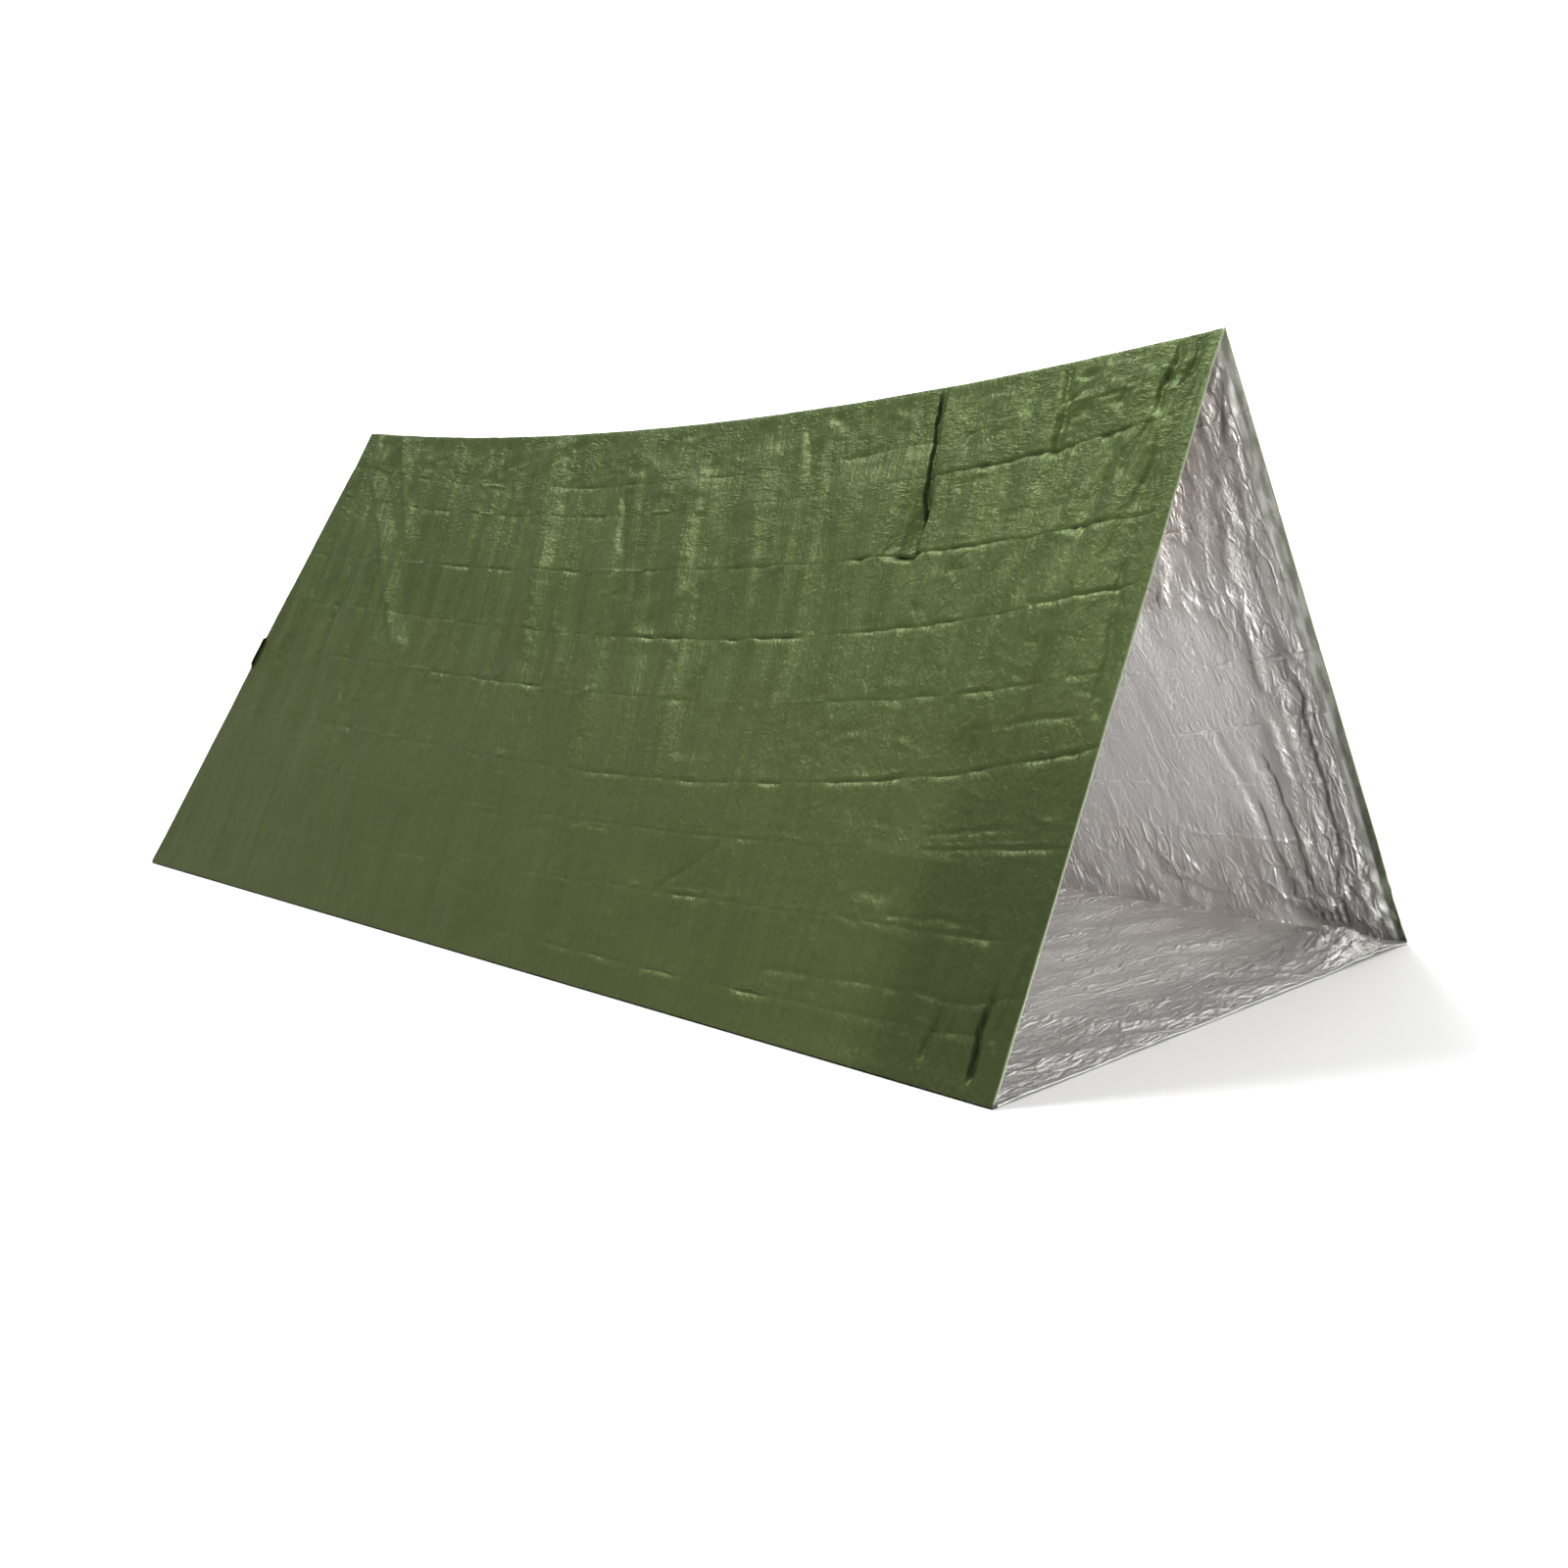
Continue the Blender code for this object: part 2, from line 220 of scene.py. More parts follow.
FAR_FOLDS = (
    (((-0.955, 0.95), (-0.925, 0.3)), 0.012, 0.014, 0.003),
    (((-0.935, 0.92), (-0.9, 0.45)), 0.01, 0.016, -0.0036),
    (((-0.945, 0.42), (-0.935, 0.2), (-0.94, 0.03)), 0.026, 0.009, 0.009),
    (((-0.895, 0.36), (-0.885, 0.2), (-0.9, 0.06)), 0.018, 0.01, -0.007),
    (((-0.86, 0.3), (-0.89, 0.06)), 0.022, 0.009, 0.0065),
    (((-0.965, 0.3), (-0.958, 0.1)), 0.01, 0.008, -0.005),
    (((-0.83, 0.22), (-0.85, 0.04)), 0.018, 0.009, 0.0045),
    (((-0.8, 0.36), (-0.83, 0.18)), 0.01, 0.014, 0.003),
    (((-0.88, 0.86), (-0.84, 0.55)), 0.014, 0.02, 0.0034),
    (((-0.84, 0.82), (-0.79, 0.6)), 0.012, 0.018, -0.0034),
    (((-0.78, 0.9), (-0.72, 0.6)), 0.02, 0.04, 0.004),
    (((-0.6, 0.95), (-0.66, 0.55)), 0.022, 0.06, -0.005),
    (((-0.4, 0.95), (-0.44, 0.6)), 0.02, 0.06, 0.005),
    (((-0.15, 0.94), (-0.12, 0.5)), 0.024, 0.07, -0.005),
    (((0.08, 0.95), (0.14, 0.62)), 0.02, 0.06, 0.005),
    (((0.26, 0.96), (0.22, 0.5)), 0.022, 0.06, -0.004),
    (((0.52, 0.95), (0.58, 0.6)), 0.02, 0.06, 0.0045),
    (((0.93, 0.97), (0.74, 0.72), (0.6, 0.42)), 0.016, 0.07, -0.004),
    (((0.84, 0.9), (0.68, 0.6)), 0.016, 0.05, 0.0036),
    (((0.94, 0.88), (0.92, 0.4)), 0.01, 0.02, -0.0026),
)
# Ends of the folds, in shares of the wall: the least fade, the fade below a fold that goes inwards, and the
# fade above a deep fold for each metre of its lift
FOLD_FADE = 0.03
FOLD_END = 0.018
FOLD_TAPER = 8.0
# Rows of short puckers of the near wall: place, half width, lower and upper share, spacing and lift
PUCKERS = (
    (-0.805, 0.02, 0.865, 0.975, 0.012, 0.0036),
    (-0.885, 0.026, 0.9, 0.975, 0.014, 0.003),
)
# Small crumpled spots of the near wall: place, in shares of half the length and of the wall, and radius
SPOTS = (
    (-0.727, 0.279, 0.016),
    (-0.925, 0.175, 0.014),
    (-0.47, 0.165, 0.018),
    (-0.1, 0.36, 0.022),
    (-0.66, 0.6, 0.016),
    (-0.86, 0.555, 0.016),
    (-0.69, 0.66, 0.02),
    (-0.34, 0.9, 0.024),
    (0.33, 0.93, 0.02),
    (0.3, 0.8, 0.02),
    (-0.4, 0.79, 0.018),
    (-0.14, 0.8, 0.016),
    (0.1, 0.905, 0.022),
    (-0.78, 0.8, 0.016),
    (-0.945, 0.78, 0.012),
)
SPOT_STEP = 0.009
SPOT_LIFT = 0.0034
# Shallow forms: a wall's inward belly, and a dish by the front opening
WALL_BELLY = -0.006
FRONT_DISH = -0.003

# Packing creases: lift, width, wander, length of their dashes and dots, and the far wall's extra strength
CREASE_LIFT = 0.0025
CREASE_WIDTH = 0.0021
CREASE_WANDER = 0.0016
CREASE_DASH = 0.042
CREASE_DOT = 0.013
FAR_CREASES = 1.7
# Streaks: sizes and lifts of their facets, lean at the stations, the share of the wall where their place is
# read, and the stretch along the tent that they fill
STREAK_LIFTS = ((0.19, 0.0034), (0.085, 0.0033), (0.034, 0.0026), (0.015, 0.0012))
STREAK_LEANS = (-0.10, 0.16, 0.32, 0.35, 0.26)
STREAK_HEIGHT = 0.7
STREAK_SPAN = 3.4
# Even creases across the walls, and sizes and lifts of the crumples all over
CROSS_CREASES = 14
CROSS_LIFT = 0.0007
CROSS_WIDTH = 0.0048
CRUMPLE_LIFTS = ((0.075, 0.0016), (0.031, 0.0013), (0.014, 0.0006))
# Fans of folds at the ridge's ends: lift, angle from fold to fold, and each end with its reach
FAN_LIFT = 0.0034
FAN_STEP = 0.07
FAN_REACHES = ((-1, 0.34), (1, 0.62))
# Short wrinkles: number, lift, limits of length and width, the far wall's extra strength, and for each wall
# the place from which they crowd by the front opening and the part of them that does
WRINKLES = 620
WRINKLE_LIFT = 0.0017
WRINKLE_LENGTHS = (0.008, 0.03)
WRINKLE_WIDTHS = (0.0035, 0.006)
FAR_WRINKLES = 1.7
CROWDED_WRINKLES = ((-0.97, 0.25), (-0.99, 0.55))
# Length over which fine relief grows in from an opening
EDGE_FADE = 0.04
# Slopes that turn the film from the light, where its colour is painted darker as shade: start, reach and the
# far wall's share for those along the tent, by ply, and start and reach for those up the near wall
FOLD_SHADES = {"outer": (0.30, 0.9, 0.3), "inner": (0.15, 0.5, 1.0)}
CREASE_SHADE = (0.22, 1.0)
# Side of the lattice that noise() repeats over
LATTICE = 512

# Hems: the band inside, the roll over the film's edge, the lip outside and its ruffle, and the rear hem's tab
HEM_WIDTH = 0.025
HEM_DEPTH = 0.0020
HEM_ROLL = 0.0009
HEM_LIP = 0.0012
HEM_START = 0.004
HEM_CORNER_GAP = 0.006
RUFFLE_LIFT = 0.0004
RUFFLE_REACH = 0.0012
TAB_SHARES = (0.43, 0.49)
TAB_LIFT = 0.0070
TAB_REACH = 0.004
# Distances from mid length between which the band turns from silver to green
HEM_RIM = (1.034, 1.040)
LAP_WIDTH = 0.03
LAP_RISE = 0.0009
# Start of the floor's places on the film, clear of the walls' own
FLOOR_PLACE = 2

# The solids' pieces that each strip of the walls stands for
STRIP_NODES = {
    "near": ("near_lower_wall",),
    "ridge": ("near_upper_wall", "far_upper_wall"),
    "far": ("far_lower_wall",),
}

# Light: the way to the key light, its strength and its angle in degrees, the other lamps with their size,
# strength, place and aim, and the world's strength all round, from low on the far side and from above
KEY_DIRECTION = (-0.05, 0.45, 0.89)
KEY_STRENGTH = 2.5
KEY_ANGLE = 20
LAMPS = {
    "fill": (1.5, 12, (-1.4, -3.6, 0.35), (0.3, -0.9, 0.3)),
    "inside_fill": (0.5, 195, (-0.15, -4.6, 0.25), (0.2, 0.0, 0.25)),
}
WORLD_STRENGTHS = (0.36, 1.5, 0.35)
GROUND_REACH = 30.0
GROUND_LEVEL = -0.0005
GROUND_TONE = (0.95, 0.95, 0.95, 1)

# Rows about the wall crease: the climb above it over which they stay close. Relief into the tent levels off
# in the wedge that is left between the panels when they lie on each other, from a clearance at the crease.
CREASE_BEND = 0.030
CREASE_CLEARANCE = 0.0030
CREASE_WEDGE = 0.065


def ease(t):
    """Smooth step: 3t squared less 2t cubed, held at 0 and 1 outside."""
    t = np.clip(t, 0.0, 1.0)
    return t * t * (3 - 2 * t)


def bell(distance, width):
    """Bell curve: e to the minus square of distance over width."""
    return np.exp(-((distance / width) ** 2))


def between(value, low, high, fade):
    """1 from low to high, easing to 0 over fade outside them."""
    return ease((value - low) / fade + 1) * ease((high - value) / fade + 1)


def noise(u, v, seed):
    """Random heights from -1 to 1 on a unit lattice, eased between the four corners of each cell."""
    heights = np.random.default_rng(seed).uniform(-1, 1, (LATTICE, LATTICE))
    column, row = np.floor(u).astype(int), np.floor(v).astype(int)
    a, b = ease(u - column), ease(v - row)

    def corner(right, up):
        return heights[(column + right) % LATTICE, (row + up) % LATTICE]

    low = corner(0, 0) * (1 - a) + corner(1, 0) * a
    high = corner(0, 1) * (1 - a) + corner(1, 1) * a
    return low * (1 - b) + high * b


def spread(low, high, step, fine):
    """Places from low to high, a step apart, closer in each fine stretch, which is its ends and its step."""
    ruler = np.linspace(low, high, 20001)
    steps = np.full_like(ruler, step)
    for start, end, closer in fine:
        steps = steps + (closer - step) * between(ruler, start, end, 0.03)
    count = np.concatenate(([0], np.cumsum((ruler[1] - ruler[0]) / steps[1:])))
    return np.interp(np.linspace(0, count[-1], round(count[-1]) + 1), count, ruler)


def wall_slope():
    """Slope of the wall whose mid film passes the foot's hinge and whose outer face reaches the ridge."""
    rise = RIDGE_HEIGHT - HINGE_HEIGHT
    reach = math.hypot(HALF_WIDTH, rise)
    return math.acos(STACK / 2 / reach) - math.atan2(HALF_WIDTH, rise)


WALL_SLOPE = wall_slope()
WALL_COS, WALL_SIN = math.cos(WALL_SLOPE), math.sin(WALL_SLOPE)
WALL_LENGTH = (RIDGE_HEIGHT - HINGE_HEIGHT) / WALL_SIN
CREASE_X, _, CREASE_Z = JOINTS["near_wall_crease"]
LOWER_PANEL = (CREASE_X + HALF_WIDTH) * WALL_COS + (CREASE_Z - HINGE_HEIGHT) * WALL_SIN
UPPER_PANEL = WALL_LENGTH - LOWER_PANEL
CREASE_REACH = HALF_WIDTH - LOWER_PANEL * WALL_COS + STACK / 2 * WALL_SIN
CREASE_RISE = HINGE_HEIGHT + LOWER_PANEL * WALL_SIN + STACK / 2 * WALL_COS
CREASE_CURVES = [np.polyfit(STATION_SHARES, shares, 3) for shares in CREASE_SHARES]


def ridge_line(y):
    """Height of the ridge: a parabola, lowest at mid length."""
    return RIDGE_HEIGHT - RIDGE_SAG * (1 - (y / HALF_LENGTH) ** 2)


def tube_point(y, girth, lift):
    """Points of the pitched tube, lifted out of its outer face.

    A lower panel is a plane from its foot. An upper one is ruled from the straight wall crease to the sagging
    ridge: height = ridge - sqrt((x * slope)^2 + round^2), a hyperbola with the panels as asymptotes. The lift
    is square to the wall, and near the ridge it turns upright, where square lifts would cross.
    """
    climb = np.minimum(girth, 2 * WALL_LENGTH - girth)
    side = np.where(girth <= WALL_LENGTH, -1.0, 1.0)
    lower_x = HALF_WIDTH - climb * WALL_COS + STACK / 2 * WALL_SIN
    lower_z = HINGE_HEIGHT + climb * WALL_SIN + STACK / 2 * WALL_COS
    top = ridge_line(y)
    steepness = (top - CREASE_RISE) / CREASE_REACH
    upper_x = CREASE_REACH * (WALL_LENGTH - climb) / UPPER_PANEL
    root = np.sqrt((upper_x * steepness) ** 2 + RIDGE_ROUND**2)
    lean = upper_x * steepness**2 / root
    size = np.sqrt(1 + lean**2)
    upright = ease((climb - WALL_LENGTH + 0.12) / 0.1)
    out_x = lift * lean / size * (1 - upright)
    out_z = lift * (1 / size * (1 - upright) + size * upright)
    lower = climb < LOWER_PANEL
    x = np.where(lower, lower_x + lift * WALL_SIN, upper_x + out_x)
    z = np.where(lower, lower_z + lift * WALL_COS, top - root + out_z)
    return np.stack(np.broadcast_arrays(side * x, y, z), axis=-1)


def crease_level(index, y, side):
    """Climb of a packing crease: a cubic through its stations, wandering a little. Level 0 is the foot."""
    if index == 0:
        return np.full_like(y, FOOT_START)
    if index == RIDGE_LEVEL:
        return np.full_like(y, WALL_LENGTH)
    share = np.polyval(CREASE_CURVES[index - 1], y / HALF_LENGTH)
    row = index + 20.0 * side + 0.5
    return share * WALL_LENGTH + CREASE_WANDER * (noise(y / 0.055, row, 3) + 0.5 * noise(y / 0.018, row, 4))


def fold_lift(y, climb, folds):
    """Sum of hanging folds: each has two straight flanks along a bent line down the wall, and fading ends."""
    share = climb / WALL_LENGTH
    total = np.zeros_like(climb)
    for path, rear, front, lift in folds:
        places, heights = np.array(path[::-1]).T
        own_row = places[0] * 9
        wander = 0.005 * noise(share / 0.04, own_row, 5) + 0.002 * noise(share / 0.012, own_row, 7)
        away = y - HALF_LENGTH * np.interp(share, heights, places) - wander
        flank = 1 - np.abs(away) / np.where(away > 0, rear, front)
        above_end = share - heights[0]
        low = above_end / FOLD_END + 1 if lift < 0 else above_end / (FOLD_FADE + rear + front)
        top_fade = max(FOLD_FADE, FOLD_TAPER * abs(lift))
        length = ease(low) * ease((heights[-1] - share) / top_fade + 1)
        total += lift * length * np.clip(flank, 0, 1)
    return total


def spot_lift(y, climb):
    """Crumpled spots: creased noise within a bell about each place."""
    inside = np.zeros_like(climb)
    for place, share, radius in SPOTS:
        inside += bell(np.hypot(y - place * HALF_LENGTH, climb - share * WALL_LENGTH), radius)
    warp = 0.6 * noise(y / 0.02, climb / 0.02, 13)
    return -SPOT_LIFT * inside * np.abs(noise(y / SPOT_STEP + warp, climb / SPOT_STEP - warp, 14))


def pucker_lift(y, climb):
    """Short ridges one over the other beside a fold of the near wall: waves up the wall within a bell."""
    share = climb / WALL_LENGTH
    total = np.zeros_like(climb)
    for place, width, low, high, step, lift in PUCKERS:
        wave = noise(y / 0.032 + climb / 0.05, climb / step, 6)
        total += lift * wave * bell(y - place * HALF_LENGTH, width) * between(share, low, high, 0.01)
    return total


def fan_lift(y, climb, seed):
    """Tension folds that spread from the two ends of the ridge: waves in the angle about the end."""
    total = np.zeros_like(climb)
    for end, reach in FAN_REACHES:
        along = HALF_LENGTH - end * y
        down = WALL_LENGTH - climb
        angle = np.arctan2(along, down)
        radius = np.hypot(along, down)
        strength = ease(radius / 0.12) * (1 - ease((radius - reach) / 0.25))
        strength = strength * (1 - ease((angle - 0.35) / 0.5))
        total += strength * noise(angle / FAN_STEP + 3 * end, radius / 0.45, seed)
    return FAN_LIFT * total


def streak_place(y, climb):
    """Place along the tent where the leaning streak through a point crosses the streaks' own height."""
    lean = np.interp(y / HALF_LENGTH, STATION_SHARES, STREAK_LEANS)
    return y - lean * (climb - STREAK_HEIGHT * WALL_LENGTH)


def panel_lift(y, climb, levels, seed):
    """Flat facets between the packing creases, so that the film kinks at them and is streaked up the slope.

    Each size of facet has corners at random places along the tent, on every crease, with random heights, half
    of which all creases share. Heights are straight from corner to corner, and grow towards the ridge.
    """
    place = streak_place(y, climb)
    draw = np.random.default_rng(seed)
    rows = [np.zeros_like(climb) for _ in range(RIDGE_LEVEL + 1)]
    for step, lift in STREAK_LIFTS:
        count = round(STREAK_SPAN / step)
        corners = np.cumsum(draw.uniform(0.4, 1.6, count)) * step - STREAK_SPAN / 2
        common = draw.uniform(-1, 1, count)
        for index in range(1, RIDGE_LEVEL + 1):
            rows[index] += lift * np.interp(place, corners, 0.6 * common + 0.6 * draw.uniform(-1, 1, count))
    for index in range(1, RIDGE_LEVEL + 1):
        share = index / RIDGE_LEVEL
        growth = 0.36 + 0.64 * ease((share - 0.15) / 0.5)
        rows[index] *= growth + 0.5 * share * noise(y / 0.21, index * 0.6, seed + 8)
    rows[RIDGE_LEVEL] *= 0.3
    total = np.zeros_like(climb)
    for index in range(RIDGE_LEVEL):
        low, high = levels[index], levels[index + 1]
        up = np.clip((climb - low) / (high - low), 0, 1)
        inside = (climb >= low) & (climb <= high)
        total = np.where(inside, rows[index] * (1 - up) + rows[index + 1] * up, total)
    return total


def crease_relief(y, climb, levels, marks, side, seed):
    """Narrow bells along the packing creases, in dashes and stronger where a mark says so, and their wear."""
    along = y / HALF_LENGTH
    lift, wear = np.zeros_like(climb), np.zeros_like(climb)
    for index in range(1, RIDGE_LEVEL):
        distance = climb - levels[index]
        dash = ease((noise(y / CREASE_DASH, index + 0.5, seed) + 0.2) / 0.5)
        dash = dash * (0.45 + 0.75 * ease(noise(y / CREASE_DOT, index + 0.5, seed + 4) + 0.5))
        strength = 0.08 + 0.20 * dash
        for crease, low, high, mark in marks:
            if crease == index:
                strength = strength + mark * between(along, low, high, 0.03) * (0.15 + 0.95 * dash)
        turn = noise(y / 0.24, index + 7.5, seed + 1)
        valley = -bell(distance, np.where(distance > 0, 0.8, 2.0) * CREASE_WIDTH)
        valley += 0.4 * bell(distance - 2.4 * CREASE_WIDTH, CREASE_WIDTH)
        peak = bell(distance, CREASE_WIDTH * 1.1)
        lift += CREASE_LIFT * strength * np.where(turn > -0.45, valley, peak)
        wear += strength * bell(distance + 0.9 * CREASE_WIDTH, CREASE_WIDTH)
    for path, strength in NEAR_SHORTS if side == NEAR else ():
        places, heights = np.array(path).T
        order = np.argsort(places)
        level = np.interp(along, places[order], heights[order]) * WALL_LENGTH
        own_row = heights[0] * 50
        level = level + CREASE_WANDER * (noise(y / 0.03, own_row, 8) + 0.5 * noise(y / 0.012, own_row, 9))
        dash = 0.3 + 0.7 * ease((noise(y / CREASE_DOT, own_row, 10) + 0.4) / 0.5)
        inside = between(along, places.min(), places.max(), 0.02)
        distance = climb - level
        valley = bell(distance, np.where(distance > 0, 1.0, 2.0) * CREASE_WIDTH)
        lift -= CREASE_LIFT * strength * dash * inside * valley
    for index in range(1, CROSS_CREASES):
        place = HALF_LENGTH * (2 * index / CROSS_CREASES - 1)
        place = place + 0.004 * noise(climb / 0.09, index + 0.5, seed + 2)
        dash = ease((noise(climb / 0.1, index + 30.5, seed + 3) - 0.05) / 0.6)
        lift -= CROSS_LIFT * dash * bell(y - place, CROSS_WIDTH)
    return lift, wear


def wrinkle_lift(y, climb, side):
    """Short random wrinkles: bells along and across a short line, most of them strung along the creases."""
    draw = np.random.default_rng(40 + side)
    total = np.zeros_like(climb)
    front, crowded = CROWDED_WRINKLES[side]
    for _ in range(WRINKLES):
        low, high = (front, -0.62) if draw.uniform() < crowded else (-0.97, 0.97)
        place_y = draw.uniform(low, high) * HALF_LENGTH
        index = draw.integers(1, RIDGE_LEVEL)
        level = np.polyval(CREASE_CURVES[index - 1], place_y / HALF_LENGTH) + draw.normal(0, 0.007)
        share = level if draw.uniform() < 0.6 else draw.uniform(0.05, 0.97) ** 0.8
        angle = draw.uniform(-0.5, 0.5) + (math.pi / 2 if draw.uniform() < 0.25 + 0.6 * share else 0)
        length, width = draw.uniform(*WRINKLE_LENGTHS), draw.uniform(*WRINKLE_WIDTHS)
        lift = draw.choice((-1, 1)) * draw.uniform(0.4, 1.0) * (0.5 + 0.5 * share)
        lift *= (1.0, FAR_WRINKLES)[side]
        down = climb - share * WALL_LENGTH
        away = y - place_y
        near = (np.abs(down) < 3 * length) & (np.abs(away) < 3 * length)
        along = away[near] * math.cos(angle) + down[near] * math.sin(angle)
        across = down[near] * math.cos(angle) - away[near] * math.sin(angle)
        total[near] += lift * bell(along, length) * bell(across, width)
    return WRINKLE_LIFT * total


def foot_heap(y, climb):
    """Film crumpled beside the far wall's front foot: creased noise of two sizes within a bell."""
    inside = bell(y / HALF_LENGTH + 0.93, 0.075) * bell(climb / WALL_LENGTH - 0.07, 0.10)
    inside = inside * ease((climb - 0.008) / 0.05)
    large = np.abs(noise(y / 0.024, climb / 0.03, 71))
    small = np.abs(noise(y / 0.013, climb / 0.018, 72))
    return inside * (0.010 * large + 0.008 * small)


def wall_relief(y, climb, side):
    """Lift of one wall's film, the sum of all its folds and creases, and how worn it is at each place."""
    share = climb / WALL_LENGTH
    levels = [crease_level(index, y, side) for index in range(RIDGE_LEVEL + 1)]
    folds, marks = ((NEAR_FOLDS, NEAR_MARKS), (FAR_FOLDS, FAR_MARKS))[side]
    high = ease((share - 0.3) / 0.45)
    edge = ease((HALF_LENGTH - np.abs(y)) / EDGE_FADE)
    foot = ease(climb / 0.03)
    ridge = ease((WALL_LENGTH - climb) / 0.03)
    seed = 60 + 10 * side
    busy = 0.5 + 0.5 * noise(y / 0.22, climb / 0.14, seed + 4) + 0.35 * high
    busy = busy + (0.9 * ease((share - 0.84) / 0.08) if side == NEAR else 2.0 * ease((0.2 - share) / 0.1))
    crumple = np.zeros_like(climb)
    for step, lift in CRUMPLE_LIFTS:
        warp = 0.5 * noise(y / step / 1.7, climb / step / 1.7, seed + 5)
        crumple -= lift * np.abs(noise(y / step + warp, climb / step - warp, seed + 6))
    if side == FAR:
        crumple -= foot_heap(y, climb)
    relief, wear = crease_relief(y, climb, levels, marks, side, seed + 7)
    fine = panel_lift(y, climb, levels, seed + 20) + crumple * busy + wrinkle_lift(y, climb, side)
    if side == FAR:
        fine *= 1 - 0.6 * between(share, 0.27, 0.5, 0.1) * ease((y / HALF_LENGTH + 0.94) / 0.05)
    lift = WALL_BELLY * np.sin(math.pi * share) * ease((share - 0.2) / 0.4) * (1 - (y / HALF_LENGTH) ** 4)
    lift += FRONT_DISH * bell(y / HALF_LENGTH + 0.86, 0.12) * bell(share - 0.2, 0.22)
    details = pucker_lift(y, climb) + spot_lift(y, climb) if side == NEAR else 0
    lift += fold_lift(y, climb, folds) + fan_lift(y, climb, seed + 8) + details
    lift += fine * (0.3 + 0.7 * edge) + relief * (0.4 + 0.6 * edge) * (1.0, FAR_CREASES)[side]
    wedge = CREASE_CLEARANCE + CREASE_WEDGE * np.abs(climb - LOWER_PANEL)
    lift = lift * foot * (0.3 + 0.7 * ridge)
    return np.where(lift < 0, wedge * np.tanh(lift / wedge), lift), wear * foot


def film_relief(y, girth):
    """Lift and wear over both walls."""
    near_lift, near_wear = wall_relief(y, np.minimum(girth, WALL_LENGTH), NEAR)
    far_lift, far_wear = wall_relief(y, np.minimum(2 * WALL_LENGTH - girth, WALL_LENGTH), FAR)
    near = girth <= WALL_LENGTH
    return np.where(near, near_lift, far_lift), np.where(near, near_wear, far_wear)


def away_from_light(lift, y, girth, start, reach, far_share):
    """How far the film turns from the light, 0 to 1, by the slope of its lift along the tent and up the wall:
    the share of shade that is painted into the films' colour.

    A slope along the tent counts from start on, over a reach, and on the far wall by its share. A slope up
    the wall counts on the near wall alone.
    """
    far = girth > WALL_LENGTH
    slope = np.gradient(lift, y, axis=1)
    rise = np.gradient(lift, axis=0) / np.maximum(np.gradient(girth, axis=0), 1e-4)
    crease = ease((np.where(far, 0, rise) - CREASE_SHADE[0]) / CREASE_SHADE[1])
    return np.clip(ease((slope - start) / reach) * np.where(far, far_share, 1) + 0.8 * crease, 0, 1)


def floor_lift(x, y):
    """Wrinkles of the floor, never under the ground: creased noise, mostly long, and a crumpled corner."""
    slant = x * 0.87 - y * 0.5
    cross = x * 0.5 + y * 0.87
    warp = 0.8 * noise(x / 0.12, y / 0.12, 90)
    long_folds = np.abs(noise(cross / 0.045 + warp, slant / 0.22, 91)) ** 0.8
    short_folds = np.abs(noise(x / 0.05 + warp, y / 0.035, 92))
    fine = np.abs(noise(x / 0.017 + warp, y / 0.017, 93))
    sharp = np.abs(noise(x / 0.021 + warp, y / 0.021 - warp, 94))
    spiky = np.abs(noise(x / 0.0125, y / 0.0125, 95))
    heap = bell(x - 0.385, 0.080) * bell(y + 0.99, 0.07) * ease((HALF_WIDTH - 0.012 - x) / 0.06)
    wall_side = ease((HALF_WIDTH - np.abs(x)) / 0.05)
    opening = ease((HALF_LENGTH - np.abs(y)) / 0.04)
    calm = 0.0060 * (1 - long_folds) + 0.0030 * (1 - short_folds) + 0.0012 * fine
    crumpled = heap * (0.009 * (1 - short_folds) + 0.014 * (1 - sharp) + 0.010 * (1 - spiky))
    return (calm + crumpled) * wall_side * (0.25 + 0.75 * opening)


class Wire:
    """A shader socket that Python sums work on: each operator adds one Math node to the socket's tree."""

    def __init__(self, socket):
        self.socket = socket

    def math(self, operation, *values):
        settings = {"operation": operation}
        return add_node(self.socket.id_data, "ShaderNodeMath", settings, dict(enumerate(values)))[0]

    def __add__(self, other):
        return self.math("ADD", self, other)

    __radd__ = __add__

    def __sub__(self, other):
        return self.math("SUBTRACT", self, other)

    def __rsub__(self, other):
        return self.math("SUBTRACT", other, self)

    def __mul__(self, other):
        return self.math("MULTIPLY", self, other)

    __rmul__ = __mul__

    def __truediv__(self, other):
        return self.math("DIVIDE", self, other)

    def ramp(self, low, high):
        """0 at low and 1 at high, eased between and held outside."""
        settings = {"interpolation_type": "SMOOTHSTEP"}
        return add_node(self.socket.id_data, "ShaderNodeMapRange", settings, {0: self, 1: low, 2: high})[0]


def add_node(tree, kind, settings=None, inputs=None):
    """Adds a node, sets its settings, then its sockets to values or links, and gives its outputs as Wires."""
    made = tree.nodes.new(kind)
    for name, value in (settings or {}).items():
        setattr(made, name, value)
    for key, value in (inputs or {}).items():
        if isinstance(value, Wire):
            tree.links.new(value.socket, made.inputs[key])
        else:
            made.inputs[key].default_value = value
    return [Wire(socket) for socket in made.outputs]


